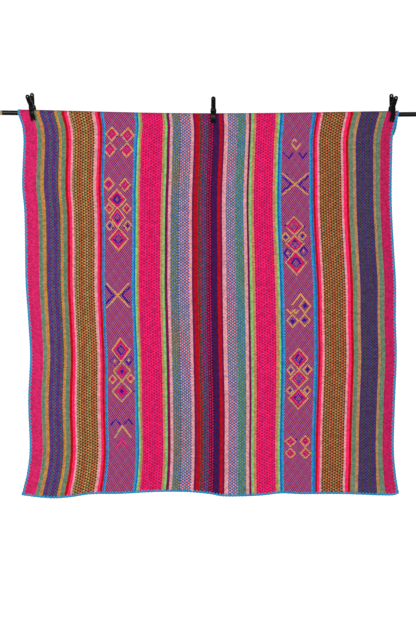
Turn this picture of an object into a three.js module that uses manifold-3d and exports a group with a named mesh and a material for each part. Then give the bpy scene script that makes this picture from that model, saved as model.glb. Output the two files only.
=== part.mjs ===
// Striped woven rug of two loom panels, folded over a black rod and held there by three spring clips.
// Millimetres, +Z up, the front faces -Y. The origin is on the rod's axis at the middle of its length.
import * as THREE from "three";
import { mergeVertices } from "three/addons/utils/BufferGeometryUtils.js";
import Module from "manifold-3d";

const wasm = await Module();
wasm.setup();

// Rod
const rodRadius = 8;
const rodHalfLength = 740;
const rodRise = { left: 13, right: 8 }; // how far each end stands above the sagging middle
const rodSteps = 24;
const rodSides = 16;

// Cloth
const clothThickness = 3;
const rest = 0.5; // cloth to rod
const gap = 0.3; // between pieces sewn edge to edge
const foldRadius = rodRadius + rest + clothThickness / 2; // to the middle of the cloth
const flapLength = 64; // back flap, below the rod's axis
const flapUneven = { height: 3, every: 520 };
const flapFlare = 5; // the stiff wool stands away from the rod at the flap's hem
const frontRows = 24;
const foldRows = 8;
const flapRows = 4;
const panelColumns = 18;

// Crocheted edging round the whole rug
const edgingWidth = 7.5;
const edgingSection = [
  { across: 0, front: 1.5, back: 1.5 },
  { across: 0.55, front: 2.4, back: 1.5 },
  { across: 1, front: 1, back: 1 },
];

// The hung outline: X of the left edge, the centre seam and the right edge, at each drop below the rod's axis
const frontOutline = [
  { drop: 0, left: -632, seam: 10, right: 624 },
  { drop: 20, left: -626, seam: 12, right: 617 },
  { drop: 40, left: -619, seam: 13, right: 612 },
  { drop: 65, left: -615, seam: 13, right: 606 },
  { drop: 100, left: -613, seam: 12, right: 603 },
  { drop: 240, left: -617, seam: 6, right: 600 },
  { drop: 320, left: -610, seam: 5, right: 601 },
  { drop: 440, left: -607, seam: 6, right: 607 },
  { drop: 560, left: -605, seam: 6, right: 614 },
  { drop: 680, left: -597, seam: 8, right: 614 },
  { drop: 800, left: -591, seam: 10, right: 617 },
  { drop: 950, left: -597, seam: 14, right: 611 },
  { drop: 1110, left: -592, seam: 14, right: 607 },
  { drop: 1190, left: -601, seam: 13, right: 614 },
  { drop: 1230, left: -611, seam: 12, right: 620 },
  { drop: 1260, left: -618, seam: 12, right: 623 },
];
const flapOutline = [
  { drop: 0, left: -632, seam: 10, right: 624 },
  { drop: 25, left: -623, seam: 11, right: 625 },
  { drop: 45, left: -614, seam: 12, right: 623 },
  { drop: 70, left: -607, seam: 13, right: 614 },
];

// The lower hem's height along the rug
const hemLine = [
  { x: -620, z: -1246 },
  { x: -560, z: -1253 },
  { x: -505, z: -1256 },
  { x: -450, z: -1252 },
  { x: -395, z: -1244 },
  { x: -300, z: -1242 },
  { x: -190, z: -1236 },
  { x: -80, z: -1236 },
  { x: 0, z: -1243 },
  { x: 40, z: -1250 },
  { x: 110, z: -1250 },
  { x: 180, z: -1246 },
  { x: 235, z: -1240 },
  { x: 300, z: -1243 },
  { x: 450, z: -1243 },
  { x: 560, z: -1246 },
  { x: 605, z: -1246 },
  { x: 624, z: -1240 },
];

// Soft upright folds in the hanging sheet: a positive depth goes back, and a fold moves sideways by its lean
const softFolds = [
  { x: -560, width: 70, depth: -8, lean: 0.03 },
  { x: -420, width: 80, depth: 5, lean: 0.02 },
  { x: -240, width: 90, depth: -4, lean: 0 },
  { x: -40, width: 90, depth: 5, lean: 0.01 },
  { x: 170, width: 90, depth: -5, lean: 0.01 },
  { x: 380, width: 90, depth: 5, lean: 0 },
  { x: 560, width: 70, depth: -8, lean: -0.01 },
];
const foldGrowth = 420; // drop at which a soft fold has its full depth
const bellies = { depth: 3, every: 700 }; // slow in-and-out of the sheet down its length

// Spring clips: where each sits on the rod and how it is turned, in degrees
const clips = [
  { name: "left", x: -581, lean: -11, tilt: 12, yaw: -10 },
  { name: "centre", x: 13, lean: 0, tilt: 4, yaw: 0 },
  { name: "right", x: 600, lean: 6.5, tilt: 15, yaw: 10 },
];
const armThickness = 3;
const armWidth = { handle: 14, ear: 20, jaw: 16 };
const armTop = 63;
const earBand = { low: 13.5, high: 25 };
const springAt = 19; // the spring's axis above the rod's axis
const springRadius = 4.5;
const springLength = 15;
const ringHole = { radius: 2.4, at: 56.5 };
const jawEnd = -23;
const jawNotch = { top: 3, width: 5.5 };
const jawTipInside = 10.5; // from the clip's middle plane to the inner face of a jaw's tip
const jawClear = 0.8; // tip to cloth
// The arm's centre line from handle to jaw: out from the middle plane, and up from the rod's axis
const armLine = [
  { out: 22, up: 64 },
  { out: 17.2, up: 50 },
  { out: 11.5, up: 36 },
  { out: 7, up: 27 },
  { out: 6.3, up: 20 },
  { out: 8.6, up: 14.5 },
  { out: 12.3, up: 9.8 },
  { out: 14.7, up: 5 },
  { out: 15.4, up: 0 },
  { out: 14.9, up: -8 },
  { out: 13.6, up: -16 },
  { out: 12, up: -24 },
];
const armSamples = 26;
const dent = { flat: 30, fade: 60, full: 24, hold: 30, gone: 150 }; // how the clips press the cloth in

const degrees = Math.PI / 180;

const cloth = (name, colour) =>
  new THREE.MeshStandardMaterial({ name, color: colour, roughness: 0.95, metalness: 0 });
const wovenWool = () => cloth("woven_wool", 0xa83a5c);
const crochetWool = () => cloth("crochet_wool", 0x1e96c8);
const blackLacquer = () =>
  new THREE.MeshStandardMaterial({ name: "black_lacquer", color: 0x0c0d0e, roughness: 0.25, metalness: 0 });
const blackPlastic = () =>
  new THREE.MeshStandardMaterial({ name: "black_plastic", color: 0x16181a, roughness: 0.4, metalness: 0 });

const smoothStep = (value) => {
  const t = Math.min(Math.max(value, 0), 1);
  return t * t * (3 - 2 * t);
};

// A smooth curve through a table's rows: its value in one column where another column has the value at
function smoothAt(rows, key, at, column) {
  const last = rows.length - 1;
  if (at <= rows[0][key]) return rows[0][column];
  if (at >= rows[last][key]) return rows[last][column];
  const i = rows.findIndex((row) => row[key] > at) - 1;
  const slope = (k) => {
    const a = rows[Math.max(k - 1, 0)];
    const b = rows[Math.min(k + 1, last)];
    return (b[column] - a[column]) / (b[key] - a[key]);
  };
  const step = rows[i + 1][key] - rows[i][key];
  const t = (at - rows[i][key]) / step;
  const s = smoothStep(t);
  return (
    rows[i][column] * (1 - s) +
    rows[i + 1][column] * s +
    step * t * (1 - t) * (slope(i) * (1 - t) - slope(i + 1) * t)
  );
}

// Height of the bowed rod's axis
function rodAxis(x) {
  const t = Math.min(Math.abs(x) / rodHalfLength, 1);
  const rise = x < 0 ? rodRise.left : rodRise.right;
  return rise * (2 * t * t - t ** 4);
}

// How the turned jaws' tips press the front sheet in and let the flap out at each clip
function clipPress(x, drop, zone) {
  let press = 0;
  for (const clip of clips) {
    const tilt = clip.tilt * degrees;
    const swing = (armWidth.jaw / 2) * Math.sin(Math.abs(clip.yaw) * degrees) + jawClear;
    const shift = -jawEnd * Math.sin(tilt);
    const tip = jawTipInside * Math.cos(tilt);
    const outside = foldRadius + clothThickness / 2;
    const depth = zone === "front" ? outside - tip + shift + swing : tip + shift - swing - outside;
    const beside = 1 - smoothStep((Math.abs(x - clip.x) - dent.flat) / dent.fade);
    const lifted = smoothStep((drop - dent.hold) / (dent.gone - dent.hold));
    const down = smoothStep(drop / dent.full) * (1 - lifted);
    press += depth * beside * down;
  }
  return press;
}

// How far the hanging sheet stands back from its plain upright plane
function frontRelief(x, drop) {
  const grown = smoothStep(drop / foldGrowth);
  let relief = bellies.depth * Math.sin((2 * Math.PI * drop) / bellies.every);
  for (const fold of softFolds) {
    const away = (x - fold.x - fold.lean * drop) / fold.width;
    relief += fold.depth * Math.exp(-away * away);
  }
  return relief * grown + clipPress(x, drop, "front");
}

const flapRelief = (x, drop) => flapFlare * (drop / flapLength) ** 2 + clipPress(x, drop, "flap");

// A point of the hung cloth; out is its distance from the middle of the cloth, away from the rod
function hang(x, place, out) {
  const axis = rodAxis(x);
  const reach = foldRadius + out;
  if (place.zone === "fold")
    return [x, -reach * Math.cos(place.turn), axis + reach * Math.sin(place.turn)];
  const y = place.zone === "front" ? -reach + frontRelief(x, place.drop) : reach + flapRelief(x, place.drop);
  return [x, y, axis - place.drop];
}

const hemDrop = (x) => rodAxis(x) - smoothAt(hemLine, "x", x, "z");
const flapDrop = (x) => flapLength + flapUneven.height * Math.sin((2 * Math.PI * x) / flapUneven.every);

// X of an edge or the seam at a place along the cloth
function outlineX(place, column) {
  if (place.zone === "flap") return smoothAt(flapOutline, "drop", place.drop, column);
  return smoothAt(frontOutline, "drop", place.zone === "front" ? place.drop : 0, column);
}

// Places down the cloth from the front hem, over the rod, to the flap's hem; share is of each free length
function* placesAlong() {
  for (let i = frontRows; i > 0; i--) yield { zone: "front", share: (i / frontRows) ** 2 };
  for (let i = 0; i <= foldRows; i++) yield { zone: "fold", share: 0, turn: (Math.PI * i) / foldRows };
  for (let i = 1; i <= flapRows; i++) yield { zone: "flap", share: i / flapRows };
}

// Drop of the cloth's own lower edge, above the edging, under a point of the rod
const freeDrop = (zone, x) => (zone === "flap" ? flapDrop(x) : hemDrop(x)) - edgingWidth - gap;

// One closed body from rings of like points; each end is closed by pairing the ring's points from both ends
function sweep(rings) {
  const around = rings[0].length;
  const position = rings.flat(2);
  const index = [];
  for (let r = 0; r + 1 < rings.length; r++)
    for (let k = 0; k < around; k++) {
      const a = r * around + k;
      const b = r * around + ((k + 1) % around);
      index.push(a, b, b + around, a, b + around, a + around);
    }
  const close = (from, turned) => {
    for (let k = 0; k + 1 < around / 2; k++) {
      const [a, b, c, d] = [k, k + 1, around - 2 - k, around - 1 - k].map((n) => from + n);
      const faces = turned ? [a, b, c, a, c, d] : [a, c, b, a, d, c];
      index.push(...faces);
    }
  };
  close(0, false);
  close((rings.length - 1) * around, true);
  const geometry = new THREE.BufferGeometry();
  geometry.setAttribute("position", new THREE.Float32BufferAttribute(position, 3));
  geometry.setIndex(index);
  geometry.computeVertexNormals();
  return geometry;
}

const edgeOf = (side) => (side < 0 ? "left" : "right");

// X in a loom panel, from 0 at the seam to 1 at its outer edge
function panelX(place, side, share) {
  const from = outlineX(place, "seam") + (side * gap) / 2;
  const to = outlineX(place, edgeOf(side)) - side * (edgingWidth + gap);
  return from + (to - from) * share;
}

// A loom panel, from the seam to its outer edge
function panelGeometry(side) {
  const rings = [];
  for (const step of placesAlong()) {
    const outer = [];
    const inner = [];
    for (let i = 0; i <= panelColumns; i++) {
      const share = i / panelColumns;
      const ends = freeDrop(step.zone, panelX({ zone: step.zone, drop: Infinity }, side, share));
      const place = { ...step, drop: step.share * ends };
      const x = panelX(place, side, share);
      outer.push(hang(x, place, clothThickness / 2));
      inner.unshift(hang(x, place, -clothThickness / 2));
    }
    rings.push([...outer, ...inner]);
  }
  return sweep(side < 0 ? rings.reverse() : rings);
}

// Edging down one side: up the front, over the rod and down the flap
function sideEdgingGeometry(side) {
  const rings = [];
  for (const step of placesAlong()) {
    const points = edgingSection.map((row) => {
      const xAt = (place) => outlineX(place, edgeOf(side)) - side * edgingWidth * (1 - row.across);
      const ends = freeDrop(step.zone, xAt({ zone: step.zone, drop: Infinity }));
      const place = { ...step, drop: step.share * ends };
      const x = xAt(place);
      return { front: hang(x, place, row.front), back: hang(x, place, -row.back) };
    });
    rings.push([...points.map((p) => p.front), ...points.map((p) => p.back).reverse()]);
  }
  return sweep(side < 0 ? rings.reverse() : rings);
}

// X of each upright line that a hem shares with the panels above it, from the left outline to the right one
function hemLines(zone) {
  const lines = [(drop) => outlineX({ zone, drop }, "left")];
  for (let i = -panelColumns; i <= panelColumns; i++) {
    const side = i < 0 ? -1 : 1;
    lines.push((drop) => panelX({ zone, drop }, side, Math.abs(i) / panelColumns));
  }
  lines.push((drop) => outlineX({ zone, drop }, "right"));
  return lines;
}

function hemEdgingGeometry(zone) {
  const lengthAt = zone === "flap" ? flapDrop : hemDrop;
  const rings = hemLines(zone).map((xAt) => {
    const ring = edgingSection.map((row) => {
      const drop = lengthAt(xAt(Infinity)) - edgingWidth * (1 - row.across);
      const place = { zone, drop };
      const x = xAt(drop);
      return { front: hang(x, place, row.front), back: hang(x, place, -row.back) };
    });
    return [...ring.map((p) => p.front), ...ring.map((p) => p.back).reverse()];
  });
  return sweep(zone === "flap" ? rings.reverse() : rings);
}

// The rod, round in every upright section, with square-cut ends
function rodGeometry() {
  const rings = [];
  for (let i = 0; i <= rodSteps; i++) {
    const x = rodHalfLength * ((2 * i) / rodSteps - 1);
    const ring = [];
    for (let k = 0; k < rodSides; k++) {
      const turn = (2 * Math.PI * (k + 0.5)) / rodSides;
      ring.push([x, rodRadius * Math.cos(turn), rodAxis(x) + rodRadius * Math.sin(turn)]);
    }
    rings.push(ring);
  }
  return sweep(rings);
}

// A closed geometry as a solid for joining and cutting
function solidOf(geometry) {
  const bare = geometry.clone();
  bare.deleteAttribute("normal");
  bare.deleteAttribute("uv");
  const merged = mergeVertices(bare, 1e-4);
  const triVerts = new Uint32Array(merged.index.array);
  const vertProperties = merged.attributes.position.array;
  return new wasm.Manifold(new wasm.Mesh({ numProp: 3, vertProperties, triVerts }));
}

function geometryOf(solid) {
  const mesh = solid.getMesh();
  const geometry = new THREE.BufferGeometry();
  geometry.setAttribute("position", new THREE.BufferAttribute(mesh.vertProperties, 3));
  geometry.setIndex(new THREE.BufferAttribute(mesh.triVerts, 1));
  geometry.computeVertexNormals();
  return geometry;
}

// The arm seen from its side: a strip of even thickness along the arm's line
function armSideShape() {
  const line = new THREE.SplineCurve(armLine.map((row) => new THREE.Vector2(-row.out, row.up)));
  const outer = [];
  const inner = [];
  for (let i = 0; i <= armSamples; i++) {
    const at = line.getPoint(i / armSamples);
    const along = line.getTangent(i / armSamples);
    const half = armThickness / 2;
    outer.push(new THREE.Vector2(at.x + along.y * half, at.y - along.x * half));
    inner.unshift(new THREE.Vector2(at.x - along.y * half, at.y + along.x * half));
  }
  return new THREE.Shape([...outer, ...inner]);
}

// The arm seen from the front: a rounded handle with a ring hole, wide ears at the spring, and a forked jaw
function armFrontShape() {
  const handle = armWidth.handle / 2;
  const ear = armWidth.ear / 2;
  const jaw = armWidth.jaw / 2;
  const corner = 2.5;
  const sideways = [
    [0, jawNotch.top],
    [jawNotch.width / 2, jawEnd],
    [jaw, jawEnd],
    [jaw, earBand.low - corner],
    [ear, earBand.low + corner],
    [ear, earBand.high - corner],
    [handle, earBand.high + corner],
    [handle, armTop - handle],
  ];
  const shape = new THREE.Shape();
  shape.moveTo(...sideways[0]);
  for (const point of sideways.slice(1)) shape.lineTo(...point);
  shape.absarc(0, armTop - handle, handle, 0, Math.PI, false);
  for (const [x, z] of sideways.slice(1, -1).reverse()) shape.lineTo(-x, z);
  shape.holes.push(new THREE.Path().absarc(0, ringHole.at, ringHole.radius, 0, 2 * Math.PI, true));
  return shape;
}

function armGeometry() {
  const side = new THREE.ExtrudeGeometry(armSideShape(), { depth: armWidth.ear, bevelEnabled: false });
  side.translate(0, 0, -armWidth.ear / 2);
  side.applyMatrix4(
    new THREE.Matrix4().makeBasis(
      new THREE.Vector3(0, 1, 0),
      new THREE.Vector3(0, 0, 1),
      new THREE.Vector3(1, 0, 0),
    ),
  );
  const frontCut = { depth: 2 * armLine[0].out, bevelEnabled: false, curveSegments: 8 };
  const front = new THREE.ExtrudeGeometry(armFrontShape(), frontCut);
  front.rotateX(Math.PI / 2);
  return geometryOf(solidOf(side).intersect(solidOf(front)));
}

// The spring's barrel between the arms' ears
function springGeometry() {
  const half = springLength / 2;
  const rim = 0.8;
  const profile = [
    [0, -half],
    [springRadius - rim, -half],
    [springRadius, -half + rim],
    [springRadius, half - rim],
    [springRadius - rim, half],
    [0, half],
  ].map(([radius, along]) => new THREE.Vector2(radius, along));
  const barrel = new THREE.LatheGeometry(profile, 14);
  barrel.rotateZ(Math.PI / 2);
  barrel.translate(0, 0, springAt);
  return barrel;
}

function addPiece(parent, name, geometry, material) {
  const piece = new THREE.Mesh(geometry, material);
  piece.name = name;
  parent.add(piece);
  return piece;
}

function addClip(parent, clip) {
  const holder = new THREE.Group();
  holder.position.set(clip.x, 0, rodAxis(clip.x));
  holder.rotation.set(clip.tilt * degrees, clip.lean * degrees, clip.yaw * degrees, "YXZ");
  addPiece(holder, `clip_${clip.name}_front_arm`, armGeometry(), blackPlastic());
  const back = addPiece(holder, `clip_${clip.name}_back_arm`, armGeometry(), blackPlastic());
  back.rotation.z = Math.PI;
  addPiece(holder, `clip_${clip.name}_spring`, springGeometry(), blackPlastic());
  parent.add(holder);
}

const rug = new THREE.Group();
addPiece(rug, "rod", rodGeometry(), blackLacquer());
addPiece(rug, "panel_left", panelGeometry(-1), wovenWool());
addPiece(rug, "panel_right", panelGeometry(1), wovenWool());
addPiece(rug, "edging_left", sideEdgingGeometry(-1), crochetWool());
addPiece(rug, "edging_right", sideEdgingGeometry(1), crochetWool());
addPiece(rug, "edging_hem", hemEdgingGeometry("front"), crochetWool());
addPiece(rug, "edging_flap", hemEdgingGeometry("flap"), crochetWool());
for (const clip of clips) addClip(rug, clip);

export default rug;
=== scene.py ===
import math

import bpy
import numpy as np
from mathutils import Matrix, Vector


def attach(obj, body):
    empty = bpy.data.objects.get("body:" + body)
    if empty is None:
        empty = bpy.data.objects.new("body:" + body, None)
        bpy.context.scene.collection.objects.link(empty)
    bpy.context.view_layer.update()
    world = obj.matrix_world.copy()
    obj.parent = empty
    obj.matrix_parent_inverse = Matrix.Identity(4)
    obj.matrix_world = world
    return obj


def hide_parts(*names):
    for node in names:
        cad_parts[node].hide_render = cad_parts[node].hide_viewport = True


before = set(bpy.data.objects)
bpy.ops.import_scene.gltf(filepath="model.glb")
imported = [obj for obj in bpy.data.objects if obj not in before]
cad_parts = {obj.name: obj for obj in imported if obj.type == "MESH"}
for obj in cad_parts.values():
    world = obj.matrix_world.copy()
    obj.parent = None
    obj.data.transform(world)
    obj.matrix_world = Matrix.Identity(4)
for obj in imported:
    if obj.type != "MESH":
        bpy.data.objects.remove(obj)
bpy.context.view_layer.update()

mm = 0.001


def linear(hexColour):
    channels = [int(hexColour[i:i + 2], 16) / 255 for i in (0, 2, 4)]
    return tuple(c / 12.92 if c <= 0.04045 else ((c + 0.055) / 1.055) ** 2.4 for c in channels)


def smoothStep(value):
    t = np.clip(value, 0, 1)
    return t * t * (3 - 2 * t)


# A smooth curve through the rows of a table, from its first column to another one
def smoothAt(rows, column, at):
    keys = np.array([row[0] for row in rows], float)
    values = np.array([row[column] for row in rows], float)
    before = np.maximum(np.arange(len(keys)) - 1, 0)
    after = np.minimum(np.arange(len(keys)) + 1, len(keys) - 1)
    slopes = (values[after] - values[before]) / (keys[after] - keys[before])
    at = np.clip(at, keys[0], keys[-1])
    i = np.clip(np.searchsorted(keys, at, side="right") - 1, 0, len(keys) - 2)
    step = keys[i + 1] - keys[i]
    t = (at - keys[i]) / step
    s = smoothStep(t)
    bend = step * t * (1 - t) * (slopes[i] * (1 - t) - slopes[i + 1] * t)
    return values[i] * (1 - s) + values[i + 1] * s + bend


# Camera: straight on, level with the middle of the hanging rug
view = {
    "middle": (-4.8, -11.5, -644.9),
    "distance": 5500,
    "height": 2055,  # of what the picture takes in at the cloth
    "sensor": 36,
}


def addCamera():
    data = bpy.data.cameras.new("camera")
    data.sensor_fit = "VERTICAL"
    data.sensor_height = view["sensor"]
    data.lens = view["sensor"] * view["distance"] / view["height"]
    data.clip_end = 60
    camera = bpy.data.objects.new("camera", data)
    x, y, z = view["middle"]
    camera.location = (x * mm, (y - view["distance"]) * mm, z * mm)
    camera.rotation_euler = (math.radians(90), 0, 0)
    bpy.context.scene.collection.objects.link(camera)
    bpy.context.scene.camera = camera


# Materials: one small function adds a node with its settings and links
def addNode(tree, kind, links=None, **settings):
    node = tree.nodes.new(kind)
    for name, value in settings.items():
        setattr(node, name, value)
    setInputs(tree, node, links or {})
    return node


def setInputs(tree, node, links):
    for socket, value in links.items():
        if isinstance(value, bpy.types.NodeSocket):
            tree.links.new(value, node.inputs[socket])
        else:
            node.inputs[socket].default_value = value


def newMaterial(name):
    material = bpy.data.materials.new(name)
    material.use_nodes = True
    tree = material.node_tree
    return material, tree, tree.nodes["Principled BSDF"]


def addMath(tree, operation, first, second=0.0, third=0.0):
    return addNode(tree, "ShaderNodeMath", {0: first, 1: second, 2: third}, operation=operation).outputs[0]


# Wool's dye with painted shade in the dips, its relief and its dull surface
def setWool(tree, shader, look, dye, shade, relief):
    colour = addNode(tree, "ShaderNodeVectorMath", {0: dye, "Scale": shade}, operation="SCALE")
    bump = addNode(tree, "ShaderNodeBump", {
        "Height": relief, "Strength": look["strength"], "Distance": look["relief"] * mm,
    })
    setInputs(tree, shader, {
        "Base Color": colour.outputs[0], "Normal": bump.outputs[0], "Roughness": look["roughness"],
        "IOR": look["ior"], "Specular IOR Level": look["shine"],
    })


# Dyed wool, spun tight and woven warp-faced: short upright floats like small bricks, dull, with fine fibres
wovenWool = {
    "roughness": 0.92,
    "relief": 0.7,
    "strength": 0.8,
    "fibreWidth": 0.45,
    "fibreLength": 3.5,
    "fibreRelief": 0.45,  # share of a float's relief
    "gapShade": 0.56,  # how much light is left in the dips between floats
    "ior": 1.54,
    "shine": 0.12,  # wool scatters light and hardly shines
}


def wovenWoolMaterial():
    material, tree, shader = newMaterial("dyedWovenWool")
    lower = addNode(tree, "ShaderNodeAttribute", attribute_name="dye")
    upper = addNode(tree, "ShaderNodeAttribute", attribute_name="upperDye")
    place = addNode(tree, "ShaderNodeAttribute", attribute_name="weaveAt")
    at = addNode(tree, "ShaderNodeSeparateXYZ", {0: place.outputs["Vector"]})
    across, along, single = at.outputs
    rise = addMath(tree, "FRACT", along)
    dye = addNode(tree, "ShaderNodeMix", {
        0: addMath(tree, "GREATER_THAN", rise, 0.5), 6: lower.outputs["Color"], 7: upper.outputs["Color"],
    }, data_type="RGBA")
    # A float spans two warps and starts a warp further on in each next row
    # A fine one spans a single warp and pick
    odd = addMath(tree, "MODULO", addMath(tree, "FLOOR", along), 2.0)
    pair = addMath(tree, "FRACT", addMath(tree, "MULTIPLY", addMath(tree, "ADD", across, odd), 0.5))
    one = addMath(tree, "FRACT", across)
    inFloat = addNode(tree, "ShaderNodeMix", {0: single, 2: pair, 3: one}).outputs[0]
    sideways = addMath(tree, "ABSOLUTE", addMath(tree, "MULTIPLY_ADD", inFloat, 2.0, -1.0))
    twice = addMath(tree, "FRACT", addMath(tree, "MULTIPLY", along, 2.0))
    inPick = addNode(tree, "ShaderNodeMix", {0: single, 2: rise, 3: twice}).outputs[0]
    endways = addMath(tree, "ABSOLUTE", addMath(tree, "MULTIPLY_ADD", inPick, 2.0, -1.0))
    beside = addMath(tree, "POWER", sideways, 3.0)
    low = addMath(tree, "MAXIMUM", beside, addMath(tree, "POWER", endways, 4.0))
    height = addMath(tree, "SUBTRACT", 1.0, low)
    strandAt = addNode(tree, "ShaderNodeCombineXYZ", {
        0: addMath(tree, "MULTIPLY", across, cloth["warpPitch"] / wovenWool["fibreWidth"]),
        1: addMath(tree, "MULTIPLY", along, cloth["pickPitch"] / wovenWool["fibreLength"]),
    })
    noise = {"Vector": strandAt.outputs[0], "Scale": 1.0, "Detail": 3.0}
    strands = addNode(tree, "ShaderNodeTexNoise", noise).outputs["Fac"]
    relief = addMath(tree, "MULTIPLY_ADD", strands, wovenWool["fibreRelief"], height)
    # Painted shade: the dye is darkened in the dips between floats
    gapShade = addNode(tree, "ShaderNodeMapRange", {
        "Value": height, "From Max": 0.55, "To Min": wovenWool["gapShade"], "To Max": 1.0,
    })
    fibreShade = addNode(tree, "ShaderNodeMapRange", {
        "Value": strands, "From Min": 0.3, "From Max": 0.7, "To Min": 0.9, "To Max": 1.1,
    })
    shade = addMath(tree, "MULTIPLY", gapShade.outputs[0], fibreShade.outputs[0])
    setWool(tree, shader, wovenWool, dye.outputs[2], shade, relief)
    return material


# Dyed wool plied from three strands and worked with a hook or needle: slanting plies that catch the light
spunYarn = {
    "plyPitch": 2.4, "plies": 3, "fuzz": 10 / 9, "fuzzRelief": 0.4, "relief": 0.5, "strength": 0.7,
    "dipShade": 0.7, "roughness": 0.88, "ior": 1.54, "shine": 0.15,
}


def spunYarnMaterial(name):
    material, tree, shader = newMaterial(name)
    dye = addNode(tree, "ShaderNodeAttribute", attribute_name="dye")
    place = addNode(tree, "ShaderNodeAttribute", attribute_name="yarnAt")
    at = addNode(tree, "ShaderNodeSeparateXYZ", {0: place.outputs["Vector"]})
    along, around = at.outputs[0], at.outputs[1]
    around = addMath(tree, "MULTIPLY", around, spunYarn["plies"])
    turns = addMath(tree, "MULTIPLY_ADD", along, 1 / spunYarn["plyPitch"], around)
    ply = addMath(tree, "ABSOLUTE", addMath(tree, "SINE", addMath(tree, "MULTIPLY", turns, math.pi)))
    fuzz = addNode(tree, "ShaderNodeTexNoise", {"Scale": 1 / (spunYarn["fuzz"] * mm), "Detail": 3.0})
    relief = addMath(tree, "MULTIPLY_ADD", fuzz.outputs["Fac"], spunYarn["fuzzRelief"], ply)
    # Painted shade in the dips between the plies, and a faint painted highlight on their crests
    shade = addNode(tree, "ShaderNodeMapRange", {
        "Value": relief, "From Max": 0.9, "To Min": spunYarn["dipShade"], "To Max": 1.08,
    })
    setWool(tree, shader, spunYarn, dye.outputs["Color"], shade.outputs[0], relief)
    return material


# A hard surface: fine marks in its tone and gloss, and a relief of the same size or of finer grains
# Sizes are those of one mark along X, Y and Z; tones and gloss go from the least to the most
def hardMaterial(look):
    material, tree, shader = newMaterial(look["name"])
    place = addNode(tree, "ShaderNodeTexCoord")

    def marks(sizes, detail):
        spread = addNode(tree, "ShaderNodeMapping", {
            "Vector": place.outputs["Object"], "Scale": [1 / (size * mm) for size in sizes],
        })
        noise = {"Vector": spread.outputs[0], "Scale": 1.0, "Detail": detail}
        return addNode(tree, "ShaderNodeTexNoise", noise).outputs["Fac"]

    tone = marks(look["marks"], look["detail"])
    dark, light = [(*linear(hexColour), 1) for hexColour in look["tones"]]
    colour = addNode(tree, "ShaderNodeMix", {0: tone, 6: dark, 7: light}, data_type="RGBA")
    gloss = look["gloss"]
    if len(gloss) > 1:
        gloss = [addNode(tree, "ShaderNodeMapRange", {
            "Value": tone, "To Min": gloss[0], "To Max": gloss[1],
        }).outputs[0]]
    setInputs(tree, shader, {"Base Color": colour.outputs[2], "Roughness": gloss[0], **look["shader"]})
    if "depth" in look:
        height = marks(look["grains"], 2.0) if "grains" in look else tone
        bump = addNode(tree, "ShaderNodeBump", {
            "Height": height, "Strength": look["strength"], "Distance": look["depth"] * mm,
        })
        tree.links.new(bump.outputs[0], shader.inputs["Normal"])
    return material


# Black lacquer brushed on a wooden rod: a hard wet-looking gloss with faint long brush lines
blackLacquer = {
    "name": "blackLacquer", "marks": (250, 10 / 3, 10 / 3), "detail": 4.0, "tones": ("040404", "090a0b"),
    "gloss": (0.15, 0.21), "strength": 0.1, "depth": 0.01, "shader": {"IOR": 1.52},
}
# Bare planed softwood at the rod's end: pale tan with close straight grain, quite dull
bareSoftwood = {
    "name": "bareSoftwood", "marks": (100 / 3, 10 / 7, 10 / 7), "detail": 5.0,
    "tones": ("86764e", "b09c70"), "gloss": (0.65,), "strength": 0.3, "depth": 0.15, "shader": {"IOR": 1.5},
}
# Black ABS from a fine-textured mould: half gloss, slightly worn in tone, with a faint pebbled skin that
# takes some of the shine
mouldedPlastic = {
    "name": "mouldedBlackPlastic", "marks": [25 / 3] * 3, "detail": 4.0, "tones": ("040505", "0c0e0d"),
    "gloss": (0.2, 0.32), "grains": [5 / 7] * 3, "strength": 0.2, "depth": 0.08,
    "shader": {"IOR": 1.53, "Specular IOR Level": 0.36},
}
# Spring steel wire, oil-blackened: dark metal with the fine uneven gloss of drawn wire
springSteel = {
    "name": "blackenedSpringSteel", "marks": [10 / 7] * 3, "detail": 3.0, "tones": ("5c5e60", "8b8e91"),
    "gloss": (0.25, 0.42), "shader": {"Metallic": 1.0},
}


# Meshes
def makeObject(name, vertices, faces, material):
    mesh = bpy.data.meshes.new(name)
    mesh.from_pydata(np.asarray(vertices).tolist(), [], faces)
    mesh.polygons.foreach_set("use_smooth", np.full(len(mesh.polygons), True))
    mesh.materials.append(material)
    mesh.update()
    made = bpy.data.objects.new(name, mesh)
    bpy.context.scene.collection.objects.link(made)
    return made


# Gives every face its own colour
def paintFaces(made, colours, name="dye"):
    mesh = made.data
    counts = np.array([polygon.loop_total for polygon in mesh.polygons])
    layer = mesh.color_attributes.new(name, "FLOAT_COLOR", "CORNER")
    whole = np.concatenate([np.asarray(colours), np.ones((len(colours), 1))], axis=1)
    layer.data.foreach_set("color", np.repeat(whole, counts, axis=0).ravel())


# Gives every face corner a vector, such as its place in the weave
def markCorners(made, name, vectors):
    layer = made.data.attributes.new(name, "FLOAT_VECTOR", "CORNER")
    layer.data.foreach_set("vector", np.asarray(vectors, float).ravel())


# A closed tube through rings of points; lengths along a yarn tell where its plies are
def makeTube(name, rings, material, flip=False, lengths=None):
    count, around = rings.shape[:2]
    index = np.arange(count * around).reshape(count, around)
    after = np.roll(index, -1, axis=1)
    faces = np.stack([index[:-1], after[:-1], after[1:], index[1:]], axis=-1).reshape(-1, 4).tolist()
    faces += [index[0, ::-1].tolist(), index[-1].tolist()]
    if flip:
        faces = [face[::-1] for face in faces]
    made = makeObject(name, rings.reshape(-1, 3), faces, material)
    if lengths is not None:
        turn = np.tile(np.arange(around) / around, count)
        places = np.stack([np.repeat(lengths, around), turn, 0 * turn], axis=-1)
        markCorners(made, "yarnAt", places[np.concatenate(faces)])
    return made


def dress(made, slot, *nodes):
    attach(made, "root")
    if nodes:
        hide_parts(*nodes)
    return made


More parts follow.
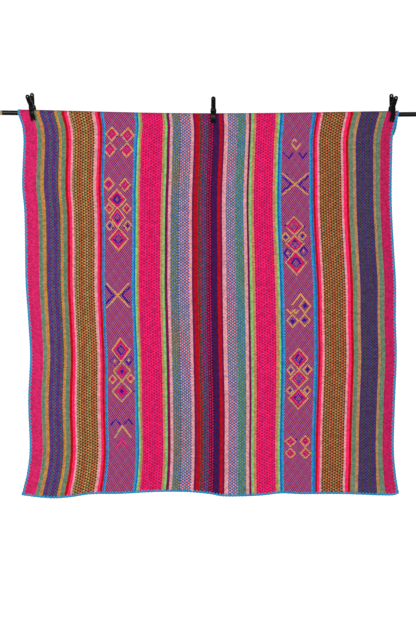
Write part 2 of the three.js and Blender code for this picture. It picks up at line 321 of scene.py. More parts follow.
# Where the cloth hangs
rod = {
    "radius": 8, "halfLength": 740, "riseLeft": 13, "riseRight": 8, "sides": 48, "steps": 74, "bevel": 0.8,
    "woodEnds": -684, "lacquerEdge": 0.4,
}
cloth = {
    "thickness": 3,
    "rest": 0.5,  # between the cloth and the rod
    "flapLength": 64,
    "flapWave": 3,
    "flapWaveEvery": 520,
    "flapFlare": 5,
    "foldGrowth": 420,
    "bellyDepth": 3,
    "bellyEvery": 700,
    "warpPitch": 2.8,
    "pickPitch": 4.6,
    "underEdging": 3,  # how far the cloth's own edge stays inside the outline
    "shortFrom": 0.95,
    "pinned": 10,  # how soon the pulls fade out towards the seam and the side edge
    "uneven": 0.12,
    "contrast": 1.3,  # how far the dyes of a dotted stripe stand off from their mean
    "darkest": 0.002,
    "warpTone": 0.1,  # how much lighter or darker warps, floats and charted picks turn out
    "floatTone": 0.5,
    "chartTone": 0.16,
}
foldRadius = rod["radius"] + cloth["rest"] + cloth["thickness"] / 2
foldLength = math.pi * foldRadius
pastHem = 1e4  # a drop below every table's end, which gives the hem's own place

# Drop below the rod's axis, then X of the left edge, the centre seam and the right edge
frontOutline = [
    (0, -632, 10, 624), (20, -626, 12, 617), (40, -619, 13, 612), (65, -615, 13, 606),
    (100, -613, 12, 603), (240, -617, 6, 600), (320, -610, 5, 601), (440, -607, 6, 607),
    (560, -605, 6, 614), (680, -597, 8, 614), (800, -591, 10, 617), (950, -597, 14, 611),
    (1110, -592, 14, 607), (1190, -601, 13, 614), (1230, -611, 12, 620), (1260, -618, 12, 623),
]
flapOutline = [(0, -632, 10, 624), (25, -623, 11, 621), (45, -614, 12, 618), (70, -607, 13, 610)]
leftEdge, seam, rightEdge = 1, 2, 3  # columns of the outlines

# X, then Z of the lower hem
hemLine = [
    (-620, -1248), (-560, -1255), (-505, -1258), (-450, -1254), (-395, -1246), (-300, -1244),
    (-190, -1238), (-80, -1238), (0, -1245), (40, -1252), (110, -1252), (180, -1248),
    (235, -1242), (300, -1245), (450, -1245), (560, -1248), (605, -1248), (624, -1242),
]
softFolds = [  # x, width, depth, lean
    (-560, 70, -8, 0.03), (-420, 80, 5, 0.02), (-240, 90, -4, 0), (-40, 90, 5, 0.01),
    (170, 90, -5, 0.01), (380, 90, 5, 0), (560, 70, -8, -0.01),
]
clips = [
    {"name": "left", "x": -581, "lean": -11, "tilt": 12, "yaw": -16},
    {"name": "centre", "x": 13, "lean": 0, "tilt": 4, "yaw": 0},
    {"name": "right", "x": 600, "lean": 6.5, "tilt": 15, "yaw": 15},
]
clip = {
    "thickness": 3.4, "handle": 15, "ear": 20, "jaw": 16, "top": 65,
    "earLow": 13.5, "earHigh": 25, "corner": 2.5,
    "springAt": 19, "springRadius": 4.5, "springLength": 15, "ringRadius": 1.8, "ringAt": 58,
    "channelDepth": 0.95, "channelLow": 27, "channelHigh": 53.5, "channelSide": 0.52, "channelWall": 0.14,
    "edge": 0.55, "crown": 0.35, "tipRound": 0.6, "tipLength": 1.2, "arcSteps": 13, "curveSteps": 24,
    "handleRows": (52, 30, 14), "jawRows": (28.5, -22.2, 40),  # heights from and to, and how many
    "jawEnd": -23, "notchTop": -9, "notchWidth": 5, "tipInside": 10.5, "clear": 0.8,
}
dent = {"flat": 30, "fade": 60, "full": 24, "hold": 30, "gone": 150}


def rodAxis(x):
    t = np.minimum(np.abs(x) / rod["halfLength"], 1)
    rise = np.where(np.asarray(x) < 0, rod["riseLeft"], rod["riseRight"])
    return rise * (2 * t * t - t ** 4)


# How the turned jaws press the front of the cloth in and let the flap out
def clipPress(x, drop, zone):
    press = 0
    for each in clips:
        tilt = math.radians(each["tilt"])
        swing = clip["jaw"] / 2 * math.sin(math.radians(abs(each["yaw"]))) + clip["clear"]
        shift = -clip["jawEnd"] * math.sin(tilt)
        tip = clip["tipInside"] * math.cos(tilt)
        outside = foldRadius + cloth["thickness"] / 2
        depth = outside - tip + shift + swing if zone == "front" else tip + shift - swing - outside
        beside = 1 - smoothStep((np.abs(x - each["x"]) - dent["flat"]) / dent["fade"])
        lifted = smoothStep((drop - dent["hold"]) / (dent["gone"] - dent["hold"]))
        press = press + depth * beside * smoothStep(drop / dent["full"]) * (1 - lifted)
    return press


def frontRelief(x, drop):
    relief = cloth["bellyDepth"] * np.sin(2 * np.pi * drop / cloth["bellyEvery"])
    for foldX, width, depth, lean in softFolds:
        relief = relief + depth * np.exp(-(((x - foldX - lean * drop) / width) ** 2))
    return relief * smoothStep(drop / cloth["foldGrowth"]) + clipPress(x, drop, "front")


# A point of the hung cloth: at is a drop in the front and the flap, and a turn over the rod in the fold
def hang(x, zone, at, out):
    axis = rodAxis(x)
    reach = foldRadius + out
    if zone == "fold":
        y = -reach * np.cos(at)
        z = axis + reach * np.sin(at)
    elif zone == "front":
        y = -reach + frontRelief(x, at)
        z = axis - at
    else:
        y = reach + cloth["flapFlare"] * (at / cloth["flapLength"]) ** 2 + clipPress(x, at, "flap")
        z = axis - at
    return np.stack(np.broadcast_arrays(x, y, z), axis=-1) * mm


def endDrop(zone, x):
    if zone == "flap":
        return cloth["flapLength"] + cloth["flapWave"] * np.sin(2 * np.pi * x / cloth["flapWaveEvery"])
    return rodAxis(x) - smoothAt(hemLine, 1, x)


def outlineX(zone, drop, column):
    if zone == "flap":
        return smoothAt(flapOutline, column, drop)
    return smoothAt(frontOutline, column, drop if zone == "front" else 0)


# Dyes of the yarns
# The right panel's purple and crimson dyes are darker copies of the left's: painted shade, as the light
# falls off to the right
dyes = dict(
    turquoise="1e8cbc", deepBlue="1262b0", crimson="ca205f", roseCrimson="b91a54", sage="627e66",
    gold="b88028", tanGold="ae7c50", darkRed="b0020c", hotPink="f42060", palePink="d29298", leaf="78bc6e",
    tan="b87c54", plum="700b45", red="ae0212", oxblood="660004", amber="c25e36", moss="746c40",
    ochre="b46e36", olive="66623e", maroon="720848", deepMaroon="5c0838", blue="2a4698",
    deepBlueGrey="1f4288", teal="1e607c", deepTeal="204e60", umber="7c5038", slate="2e649e", fern="76864e",
    lagoon="3a7878", rose="dc7c90", steel="345c96", sea="44787c", deepSea="1e4a58", dusk="2a2c60",
    magenta="9e1660", pine="1e3640", ember="a8281c", cherry="a81a4c", wine="420a26", navy="181466",
    garnet="560414", darkPink="a4105a", deepPink="e4165c", coral="cc5048", orchid="ae5a90", brick="c45a3c",
    straw="cc9c58", sand="b2824a", clay="aa7046", purple="58127c", fuchsia="90106c", grape="4c1484",
    mulberry="640c54", brightPink="e41a68", dullPink="a81058", ink="201a8e",
)


# A dotted stripe's two rows of floats: each dye spans two warps, and the second row starts some warps later
def floatRows(words, later=3):
    row = [word for word in words.split() for warp in range(2)]
    return row, row[later:] + row[:later]


# Repeats of the dotted stripes: the rows take them in turn
repeats = {
    "dottedBrown": floatRows("oxblood amber moss oxblood sand moss"),
    "dottedOchre": floatRows("oxblood ochre olive oxblood amber olive"),
    # The right panel's purple band: the left's dyes darkened, painted shade
    "dottedPurple": floatRows("maroon blue maroon teal", 6),
    "dottedViolet": floatRows("deepMaroon deepBlueGrey deepMaroon deepTeal", 6),
    "dottedGrey": floatRows("umber slate fern"),
    "dottedLilac": floatRows("rose sea steel"),
    "dottedSea": floatRows("slate fern lagoon"),
    "dottedDusk": floatRows("magenta deepSea dusk"),
    "dottedCherry": floatRows("cherry wine maroon"),
    "dottedNavy": floatRows("navy garnet", 2),
    "dottedEmber": (["pine", "ember", "ember", "pine"], ["ember", "pine", "pine", "pine"]),
    "dottedPink": floatRows("darkPink deepPink deepPink"),
}
fineStripes = {"dottedPurple", "dottedViolet", "dottedNavy", "chart"}  # their floats span a single warp
closeStripes = {"dottedGrey": 2.1, "dottedLilac": 2.1, "dottedSea": 2.1, "chart": 3.4}  # warp pitch

# Stripes from the seam to the outer edge: width and the dye or repeat
leftStripes = [
    (16, "dottedCherry"), (18.6, "dottedDusk"), (10, "dottedEmber"),
    (12, "red"), (7.5, "plum"), (8.5, "palePink"), (37, "dottedLilac"), (25.8, "dottedGrey"),
    (9, "palePink"), (9.5, "plum"), (7.3, "leaf"), (7.5, "tan"),
    (69, "dottedPink"), (6, "tan"), (6, "leaf"), (4.5, "deepBlue"), (6.2, "turquoise"),
    (91, "chart"), (5.4, "turquoise"), (3.3, "deepBlue"), (8.5, "darkRed"), (7.6, "hotPink"),
    (9.5, "palePink"), (69.3, "dottedBrown"),
    (6.7, "palePink"), (8.5, "hotPink"), (9.3, "darkRed"), (13.5, "sage"), (3.2, "tan"), (5.8, "gold"),
    (46.9, "dottedPurple"), (6, "gold"), (4.4, "tan"), (12.1, "sage"), (44.5, "crimson"),
]
rightStripes = [
    (20.4, "dottedNavy"), (9.5, "red"), (7, "plum"), (12, "palePink"),
    (31, "dottedLilac"), (28.5, "dottedSea"),
    (10, "palePink"), (7, "plum"), (7.5, "leaf"), (9, "tan"),
    (63.8, "dottedPink"), (9, "tan"), (6, "leaf"), (6, "deepBlue"), (6.5, "turquoise"),
    (95.3, "chart"), (6.5, "turquoise"), (6, "deepBlue"), (7.8, "darkRed"), (7.7, "hotPink"),
    (6.7, "palePink"), (73.5, "dottedOchre"),
    (7, "palePink"), (9.7, "hotPink"), (8.8, "darkRed"), (14, "sage"), (9.6, "tanGold"),
    # The purple band and the crimson border take darker dyes than the left's: painted shade
    (57, "dottedViolet"), (7.5, "tanGold"), (14.5, "sage"), (39.1, "roseCrimson"),
]

# Where the hanging cloth pulls its stripes sideways: share of the panel, drop, shift to +X, and
# how far the pull reaches across (a share) and down
leftPulls = [
    (0.4, 0, 14, 0.2, 60), (0.3, 200, 6, 0.2, 130), (0.85, 400, 5, 0.15, 400), (0.5, 700, -5, 0.25, 200),
]
rightPulls = [(0.7, 60, -8, 0.25, 120), (0.5, 700, 7, 0.25, 250), (0.75, 1250, -14, 0.25, 80)]

# Motifs of the two patterned bands, placed as in the photo: kind, warp from the seam's side, drop, and for
# all but dots half the width in warps and half the height in rows
leftMotifs = [
    ("small", 20.5, 63, 5.5, 5), ("small", 6, 66, 6, 5), ("dot", 15.5, 72), ("dot", 11, 72),
    ("small", 22, 114, 6, 5), ("small", 6, 115, 6, 5), ("dot", 16, 119), ("dot", 11, 119),
    ("small", 22, 228, 5.5, 4.5), ("small", 6.5, 230, 5, 4.5), ("dot", 10.5, 238), ("dot", 2, 237),
    ("ringed", 14, 278, 8.5, 7), ("small", 22, 308, 4, 3.5), ("small", 5, 308, 4, 3.5),
    ("ringed", 14, 337, 7.5, 7), ("eyed", 21.5, 364, 4, 3.5), ("eyed", 4, 364, 4, 3.5), ("dot", 18.5, 371),
    ("dot", 7.5, 371), ("dot", 20, 347), ("dot", 1, 370), ("ringed", 13, 409, 9.5, 8),
    ("cross", 13.5, 594, 11.5, 9), ("ringed", 12.5, 774, 9, 8.5), ("inked", 19, 810, 4.5, 3.5),
    ("inked", 5, 807, 4, 3.5), ("solid", 12, 844, 8.5, 7), ("small", 21.5, 870, 3.5, 3),
    ("small", 3.5, 868, 3.5, 3), ("solid", 12.5, 910, 9.5, 7.5), ("dot", 0, 910),
    ("inkPeak", 19, 1002, 4.5, 4), ("inkPeak", 6.5, 1002, 4.5, 4), ("peak", 12.5, 1023, 8, 8.5),
    ("pinkPeak", 13.5, 1064, 5.5, 7),
]
rightMotifs = [
    ("peak", 12, 79, 2.5, 2), ("valley", 14, 112, 5, 4.5), ("inkValley", 6.5, 141, 5, 4),
    ("inkValley", 21, 141, 4.5, 4), ("cross", 13.5, 226, 13, 8), ("dot", 5.5, 194),
    ("open", 12, 364, 9, 6.5), ("dot", 3.5, 363), ("dot", 22.5, 366), ("eyed", 3, 401, 4, 3),
    ("eyed", 19.5, 396, 4, 3), ("ringed", 12, 423, 8.5, 6), ("inked", 4.5, 454, 4, 3.5),
    ("inked", 20, 447, 4, 3.5), ("ringed", 12, 485, 10, 8.5), ("peak", 15, 588, 8.5, 8),
    ("eyed", 19, 627, 5.5, 5), ("valley", 10, 652, 3, 2.5), ("valley", 5.5, 652, 4.5, 3),
    ("eyed", 7, 677, 5.5, 4.5), ("eyed", 18.5, 674, 5, 4.5), ("ringed", 12.5, 802, 9, 7.5),
    ("eyed", 5, 840, 3.5, 3.5), ("eyed", 21, 837, 4.5, 3.5), ("ringed", 13, 868, 8.5, 6.5),
    ("eyed", 4.5, 907, 3.5, 2.5), ("eyed", 21.5, 906, 3.5, 3), ("ringed", 13, 932, 9.5, 7.5),
    ("small", 6.5, 1075, 5, 3.5), ("small", 21, 1073, 5, 4), ("dot", 12, 1068),
    ("small", 6.5, 1113, 5, 3.5), ("small", 21.5, 1112, 5, 3.5), ("dot", 26, 1072),
]
chart = {
    "lights": ("coral", "orchid", "brick", "orchid", "clay", "orchid"),
    "darks": ("purple", "fuchsia", "grape", "mulberry"),
    "outline": 0.72,  # half the width of a motif's outline, in warps
    "line": 0.9,  # the same for the arms of crosses and peaks
    "inkLine": 1.15,
    "dotWide": 0.9,
    "dotHigh": 0.6,
    "inkBeside": 4.2,  # from a cross's arms to the dark lines beside them
}
# Rings inside a diamond: from and to, as shares of its size, and the dye
rings = {
    "ringed": [(0.3, 0.47, "ink"), (0.57, 0.88, "brightPink")],
    "solid": [(0, 0.27, "ink"), (0.27, 0.6, "brightPink")],
    "small": [(0.28, 0.78, "brightPink")],
    "open": [(0.5, 0.85, "brightPink")],
    "eyed": [(0, 0.42, "ink")],
    "inked": [(0, 0.32, "straw")],
}
# flat is the width and length of the cloth laid flat, in metres
panels = [
    {"name": "left", "side": -1, "edge": leftEdge, "stripes": leftStripes, "pulls": leftPulls,
     "motifs": leftMotifs, "flat": (0.62, 1.34), "seed": 11},
    {"name": "right", "side": 1, "edge": rightEdge, "stripes": rightStripes, "pulls": rightPulls,
     "motifs": rightMotifs, "flat": (0.60, 1.34), "seed": 23},
]


# Warps of a panel from the seam outward: the share where each ends, and its stripe's dye or repeat
def warpsOf(panel):
    total = sum(width for width, dye in panel["stripes"])
    ends = [0.0]
    kinds = []
    for width, dye in panel["stripes"]:
        count = round(width / closeStripes.get(dye, cloth["warpPitch"]))
        if dye == panel["stripes"][-1][1] and (len(kinds) + count) % 2:
            count += 1  # the back has one face for every two warps
        start = ends[-1]
        ends += [start + width / total * (i + 1) / count for i in range(count)]
        kinds += [dye] * count
    return np.array(ends), np.array(kinds)


# X of a panel's upright warp lines at their drops; the outermost stripe ends short, under the edging
def warpLinesX(panel, zone, shares, drop):
    fromX = outlineX(zone, drop, seam)
    toX = outlineX(zone, drop, panel["edge"])
    at = drop if zone == "front" else np.zeros_like(shares)
    drift = 0
    for share, centre, shift, across, down in panel["pulls"]:
        drift = drift + shift * np.exp(-((shares - share) / across) ** 2 - ((at - centre) / down) ** 2)
    drift = drift * np.clip(cloth["pinned"] * shares * (1 - shares), 0, 1)
    short = cloth["underEdging"] * np.clip((shares - cloth["shortFrom"]) / (1 - cloth["shortFrom"]), 0, 1)
    return fromX + (toX - fromX) * shares + drift - panel["side"] * short


# Rows of weaving from the front hem over the rod to the flap's hem: zone and share of its length
def weaveRows():
    front = round((endDrop("front", 0.0) - cloth["underEdging"]) / cloth["pickPitch"])
    fold = round(foldLength / cloth["pickPitch"])
    flap = round(cloth["flapLength"] / cloth["pickPitch"]) - 1
    rows = [("front", 1 - i / front) for i in range(front)]
    rows += [("fold", math.pi * i / fold) for i in range(fold + 1)]
    rows += [("flap", (i + 1) / flap) for i in range(flap)]
    return rows


# Colours of a patterned band's picks, two to a row: a fine check of light and dark with the motifs over it
def chartColours(panel, rowDrops, count):
    random = np.random.default_rng(panel["seed"])
    picks = np.arange(2 * len(rowDrops))
    drops = np.interp((picks - 0.5) / 2, np.arange(len(rowDrops)), rowDrops)[:, None]
    cells = np.arange(count)[None, :]
    rows = picks[:, None] // 2
    raised = (rows + cells) % 2 == 0
    lights = np.array([linear(dyes[name]) for name in chart["lights"]])
    darks = np.array([linear(dyes[name]) for name in chart["darks"]])
    light = lights[(cells + rows) // 2 % len(lights)]
    dark = darks[(cells - rows) // 2 % len(darks)]
    colours = np.where(raised[..., None], light, dark)

    def put(mask, name):
        colours[mask] = linear(dyes[name])

    for kind, warp, drop, *halves in panel["motifs"]:
        rise = (drop - drops) / cloth["pickPitch"]
        sideways = np.abs(cells - warp)
        if kind == "dot":
            put((sideways < chart["dotWide"]) & (np.abs(rise) < chart["dotHigh"]), "ink")
            continue
        halfWidth, halfHeight = halves
        if kind in rings:
            ring = sideways / halfWidth + np.abs(rise) / halfHeight
            for start, stop, dye in rings[kind]:
                put((ring >= start) & (ring < stop), dye)
                if dye == "brightPink":
                    put((ring >= start) & (ring < stop) & raised, "dullPink")
            put(np.abs(ring - 1) < chart["outline"] / halfWidth, "ink" if kind == "inked" else "straw")
            continue
        slope = halfWidth / halfHeight
        if kind == "cross":
            off = sideways - slope * np.abs(rise)
            put((np.abs(off) < chart["line"]) & (np.abs(rise) <= halfHeight), "straw")
            put((np.abs(off - chart["inkBeside"]) < chart["inkLine"]) & (sideways <= halfWidth), "ink")
        else:
            up = rise if "alley" in kind else -rise
            legs = (np.abs(sideways - slope * up) < chart["line"]) & (up >= -0.5) & (up <= halfHeight)
            put(legs, "ink" if kind.startswith("ink") else "brightPink" if kind == "pinkPeak" else "straw")
    return colours * (1 + cloth["chartTone"] * (random.random((len(picks), count, 1)) - 0.5))


# Colours of the front's picks, two to a row, and of the back's rows, whose faces span two warps each
def weaveColours(panel, kinds, rowDrops):
    random = np.random.default_rng(panel["seed"] + 1)
    rowCount = len(rowDrops)
    count = len(kinds)
    rows = np.arange(rowCount)[:, None]
    cells = np.arange(count)[None, :]
    front = np.zeros((rowCount, count, 3))
    for kind in dict.fromkeys(kinds.tolist()):
        of = np.flatnonzero(kinds == kind)
        if kind in repeats:
            words = np.array([[linear(dyes[word]) for word in row] for row in repeats[kind]])
            middle = words.mean(axis=(0, 1))
            words = np.maximum(middle + cloth["contrast"] * (words - middle), cloth["darkest"])
            front[:, of] = words[rows % len(words), of[None, :] % words.shape[1]]
        elif kind != "chart":
            front[:, of] = linear(dyes[kind])
    # each warp's own dye bath, and each float's own tone
    front = front * (1 + cloth["warpTone"] * (random.random((1, count, 1)) - 0.5))
    owner = np.clip(cells - (cells + rows) % 2, 0, count - 1)
    floats = random.random((rowCount, count))
    front = front * (1 + cloth["floatTone"] * (floats[rows, owner] - 0.5))[..., None]
    picks = np.repeat(front, 2, axis=0)
    charted = np.flatnonzero(kinds == "chart")
    picks[:, charted] = chartColours(panel, rowDrops, len(charted))
    odd = np.arange(count // 2)[None, :, None] % 2 > 0
    back = np.where(odd, picks[::2, 1::2], picks[::2, ::2])
    return picks, back


def makePanel(panel, material):
    ends, kinds = warpsOf(panel)
    rows = weaveRows()
    random = np.random.default_rng(panel["seed"] + 2)
    half = cloth["thickness"] / 2
    charted = np.flatnonzero(kinds == "chart")
    chartShare = ends[charted].mean()
    outer = []
    inner = []
    lineDrops = []
    for zone, share in rows:
        hemX = warpLinesX(panel, zone, ends, np.full(len(ends), pastHem))
        length = 0 * hemX if zone == "fold" else endDrop(zone, hemX) - cloth["underEdging"]
        drop = share * length
        x = warpLinesX(panel, zone, ends, drop)
        at = np.full(len(ends), share) if zone == "fold" else drop
        rough = cloth["uneven"] * (random.random((2, len(ends))) - 0.5)
        outer.append(hang(x, zone, at, half + rough[0]))
        inner.append(hang(x[::2], zone, at[::2], -half + rough[1][::2]))
        lineDrops.append(np.interp(chartShare, ends, drop) * (1 if zone == "front" else -1))
    outer = np.array(outer)
    inner = np.array(inner)
    rowDrops = (np.array(lineDrops)[:-1] + np.array(lineDrops)[1:]) / 2
    picks, back = weaveColours(panel, kinds, rowDrops)
    fine = np.isin(kinds, list(fineStripes)).astype(float)
    if panel["side"] < 0:  # columns always run to +X
        outer, inner, picks, back = outer[:, ::-1], inner[:, ::-1], picks[:, ::-1], back[:, ::-1]
        fine = fine[::-1]
    rowCount, count = len(rowDrops), len(kinds)
    pairs = count // 2
    grid = np.arange((rowCount + 1) * (count + 1)).reshape(rowCount + 1, count + 1)
    under = np.arange((rowCount + 1) * (pairs + 1)).reshape(rowCount + 1, pairs + 1) + grid.size
    faces = []
    marks = []
    for skin, wide, flags, corners in (  # wide: warps to a face
        (grid, 1, fine, ((0, 0), (1, 0), (1, 1), (0, 1))),
        (under, 2, np.zeros(pairs), ((0, 0), (0, 1), (1, 1), (1, 0))),
    ):
        r, c = np.meshgrid(np.arange(rowCount), np.arange(count // wide), indexing="ij")
        flags = np.broadcast_to(flags, r.shape)
        square = np.stack([skin[r + up, c + across] for across, up in corners], axis=-1)
        faces += square.reshape(-1, 4).tolist()
        places = [np.stack([wide * (c + across), r + up, flags], axis=-1) for across, up in corners]
        marks.append(np.stack(places, axis=2).reshape(-1, 3))
    lower = [picks[::2].reshape(-1, 3), back.reshape(-1, 3)]
    upper = [picks[1::2].reshape(-1, 3), back.reshape(-1, 3)]

    def addRim(ring, turn, place):
        faces.append([int(v) for v in ring[::turn]])
        marks.append(np.array([place] * len(ring)))

    # the cut rims: five-cornered along the hems, four-cornered along the sides
    for row, turn in ((0, 1), (rowCount, -1)):
        for i in range(pairs):
            ring = [grid[row, 2 * i], under[row, i], under[row, i + 1], *grid[row, [2 * i + 2, 2 * i + 1]]]
            addRim(ring, turn, (2 * i, row, 0))
        tones = picks[0 if turn > 0 else -1]
        for side in (lower, upper):
            side.append((tones[::2] + tones[1::2]) / 2)
    for column, turn in ((0, 1), (count, -1)):
        for j in range(rowCount):
            ring = [grid[j, column], grid[j + 1, column], under[j + 1, column // 2], under[j, column // 2]]
            addRim(ring, turn, (column, j, 0))
        for side in (lower, upper):
            side.append(picks[::2, 0 if turn > 0 else -1])
    vertices = np.concatenate([outer.reshape(-1, 3), inner.reshape(-1, 3)])
    made = makeObject("weave_" + panel["name"], vertices, faces, material)
    paintFaces(made, np.concatenate(lower))
    paintFaces(made, np.concatenate(upper), "upperDye")
    markCorners(made, "weaveAt", np.concatenate(marks))
    triangles = sum(len(face) - 2 for face in faces)
    print("panel", panel["name"], count, "warps", rowCount, "rows", triangles, "triangles")
    return made


# Crocheted edging: a firm ridge along the rim with a tooth of yarn reaching in at each stitch
edging = {
    "stitch": 10.7,
    "steps": 10,
    "ridge": 4.9,
    "tooth": 4.8,
    "toothPower": 2.2,
    "uneven": 0.3,
    # light and dark: the turquoise on the stitches' lumps, and in painted shade in their dips
    "light": "1c9ac8",
    "dark": "0b6796",
    "seed": 5,
}


# pointAt gives the points for a share of the length, a distance in from the rim and one out of the cloth
def makeEdging(name, length, pointAt, material, flip):
    random = np.random.default_rng(edging["seed"] + len(name))
    stitches = round(length / edging["stitch"])
    count = stitches * edging["steps"] + 1
    share = np.linspace(0, 1, count)
    phase = share * stitches
    tooth = np.abs(np.cos(np.pi * phase)) ** edging["toothPower"]
    lump = 0.5 + 0.5 * np.cos(2 * np.pi * phase)
    knot = 0.5 + 0.5 * np.cos(4 * np.pi * phase)
    size = 1 + edging["uneven"] * (random.random(stitches + 1) - 0.5)
    size = np.interp(phase, np.arange(stitches + 1), size)
    foot = edging["ridge"] + edging["tooth"] * tooth * size
    backFoot = edging["ridge"] + 0.6 * edging["tooth"] * tooth
    section = [  # round one stitch from its front foot: how far in, and how far out of the cloth
        (foot, 1.25 + 0 * foot),
        (foot - 0.7, 1.75 + 0.35 * tooth),
        (0.72 * edging["ridge"] + 0 * foot, 2.0 + 0.45 * lump * size),
        (0.3 + 0.25 * knot, 1.6 + 0.3 * lump),
        (0.5 - 1.3 * lump * size, 0.1 * lump),
        (0.3 + 0.25 * knot, -1.45 - 0.2 * lump),
        (0.72 * edging["ridge"] + 0 * foot, -1.6 - 0.2 * lump),
        (backFoot, -1.3 + 0 * foot),
    ]
    around = len(section)
    rings = np.stack([pointAt(share, across, out) for across, out in section], axis=1)
    made = makeTube(name, rings, material, flip, share * length)
    # Painted shade: each stitch's yarn is darker in its dips and lighter on its lumps, with a random tone
    # per stitch
    tone = np.interp(phase[:-1], np.arange(stitches + 1), random.random(stitches + 1))
    paintedShadeAndTone = 0.25 + 0.5 * lump[:-1] * (0.6 + 0.4 * tone) + 0.2 * tone
    mix = np.clip(paintedShadeAndTone, 0, 1)[:, None, None]
    colours = (1 - mix) * np.array(linear(edging["dark"])) + mix * np.array(linear(edging["light"]))
    colours = np.broadcast_to(colours, (count - 1, around, 3)).reshape(-1, 3)
    paintFaces(made, np.concatenate([colours, colours[:2]]))
    print("edging", name, stitches, "stitches")
    return made


# Points up the front from its hem, over the rod and down the flap: lengths are those of the front and the
# flap, and across is measured to +X from a column of the outlines
def overRod(share, lengths, column, across, out):
    at = share * (sum(lengths) + foldLength) - lengths[0]
    points = np.zeros((len(share), 3))
    for zone, mask, place in (
        ("front", at <= 0, -at),
        ("fold", (at > 0) & (at < foldLength), at / foldRadius),
        ("flap", at >= foldLength, at - foldLength),
    ):
        place = place[mask]
        x = outlineX(zone, 0 * place if zone == "fold" else place, column) + across[mask]
        points[mask] = hang(x, zone, place, out[mask])
    return points


def makeSideEdging(name, column, side, material):
    lengths = [float(endDrop(zone, outlineX(zone, pastHem, column))) for zone in ("front", "flap")]

    def pointAt(share, across, out):
        return overRod(share, lengths, column, -side * across, out)

    return makeEdging(name, sum(lengths) + foldLength, pointAt, material, flip=side > 0)


def makeHemEdging(name, zone, material):
    left = float(outlineX(zone, pastHem, leftEdge))
    right = float(outlineX(zone, pastHem, rightEdge))

    def pointAt(share, across, out):
        x = left + (right - left) * share
        return hang(x, zone, endDrop(zone, x) - across, out)

    return makeEdging(name, right - left, pointAt, material, flip=zone == "flap")


# Rings of a round yarn or wire along a path of points
def ringsAlong(path, radius, sides):
    along = np.gradient(path, axis=0)
    along /= np.linalg.norm(along, axis=1)[:, None]
    normal = np.cross(along[0], (0.3, 0.2, 1.0))
    turns = 2 * np.pi * np.arange(sides)[:, None] / sides
    rings = []
    for point, direction in zip(path, along):
        normal = normal - direction * np.dot(normal, direction)
        normal = normal / np.linalg.norm(normal)
        rings.append(point + radius * (np.cos(turns) * normal + np.sin(turns) * np.cross(direction, normal)))
    return np.array(rings)


# The seam: one yarn whipped round both panels' edges, stitch after stitch
seamStitch = {
    "hemX": 12, "pitch": 9, "reach": 2.6, "over": 2.1, "under": 1.6, "yarn": 0.65, "steps": 12, "sides": 6,
    "dye": "4a0a24",
}


def makeSeam(material):
    lengths = [float(endDrop(zone, seamStitch["hemX"])) - cloth["underEdging"] for zone in ("front", "flap")]
    stitches = round((sum(lengths) + foldLength) / seamStitch["pitch"])
    share = np.linspace(0, 1, stitches * seamStitch["steps"] + 1)
    turn = 2 * np.pi * share * stitches
    out = np.where(np.sin(turn) > 0, seamStitch["over"], seamStitch["under"]) * np.sin(turn)
    path = overRod(share, lengths, seam, seamStitch["reach"] * np.cos(turn), out)
    run = np.concatenate([[0], np.cumsum(np.linalg.norm(np.diff(path, axis=0), axis=1))]) / mm
    rings = ringsAlong(path, seamStitch["yarn"] * mm, seamStitch["sides"])
    made = makeTube("seam_stitches", rings, material, lengths=run)
    paintFaces(made, np.tile(linear(seamStitch["dye"]), (len(made.data.polygons), 1)))
    print("seam", stitches, "stitches")
    return made


def makeRod(lacquer, wood):
    half, radius, bevel, cut = rod["halfLength"], rod["radius"], rod["bevel"], rod["woodEnds"]
    inner = np.linspace(-half + bevel, half - bevel, rod["steps"])[1:-1]
    stations = [(-half, radius - bevel), (-half + bevel, radius)]
    stations += [(x, radius) for x in sorted([*inner, cut - rod["lacquerEdge"], cut])]
    stations += [(half - bevel, radius), (half, radius - bevel)]
    turns = 2 * np.pi * np.arange(rod["sides"]) / rod["sides"]
    rings = np.array([
        np.stack([np.full(rod["sides"], x), r * np.cos(turns), rodAxis(x) + r * np.sin(turns)], axis=-1)
        for x, r in stations
    ]) * mm
    made = makeTube("lacquered_rod", rings, lacquer)
    made.data.materials.append(wood)
    bare = (sum(1 for x, r in stations if x < cut) + 1) * rod["sides"]
    for polygon in made.data.polygons:
        polygon.material_index = 1 if max(polygon.vertices) < bare else 0
    return made


# Clip arm, seen from its side: out from the clip's middle plane, and up from the rod's axis
armLine = [
    (25, 66), (19, 51), (12, 36), (7, 27), (6.3, 20), (8.6, 14.5),
    (12.3, 9.8), (14.7, 5), (15.4, 0), (14.9, -8), (13.6, -16), (12, -24),
]


def armCurve():
    points = np.array(armLine, float)
    padded = np.concatenate([points[:1], points, points[-1:]])
    dense = []
    for i in range(len(points) - 1):
        a, b, c, d = padded[i:i + 4]
        v0 = (c - a) / 2
        v1 = (d - b) / 2
        for t in np.linspace(0, 1, clip["curveSteps"], endpoint=False):
            cubic = (2 * b - 2 * c + v0 + v1) * t ** 3
            dense.append(cubic + (-3 * b + 3 * c - 2 * v0 - v1) * t ** 2 + v0 * t + b)
    return np.array(dense + [points[-1]])


def halfWidthAt(up):
    top = clip["top"] - clip["handle"] / 2
    rows = [
        (clip["jawEnd"], clip["jaw"]), (clip["earLow"] - clip["corner"], clip["jaw"]),
        (clip["earLow"] + clip["corner"], clip["ear"]), (clip["earHigh"] - clip["corner"], clip["ear"]),
        (clip["earHigh"] + clip["corner"], clip["handle"]), (top, clip["handle"]),
    ]
    if up > top:
        return math.sqrt(max((clip["handle"] / 2) ** 2 - (up - top) ** 2, 0))
    return float(np.interp(up, [row[0] for row in rows], [row[1] / 2 for row in rows]))


# Half the width of what is cut from the arm's middle: the ring hole and the fork between the jaws
def cutAt(up):
    if up < clip["notchTop"]:
        return clip["notchWidth"] / 2 * (clip["notchTop"] - up) / (clip["notchTop"] - clip["jawEnd"])
    return math.sqrt(max(clip["ringRadius"] ** 2 - (up - clip["ringAt"]) ** 2, 0))


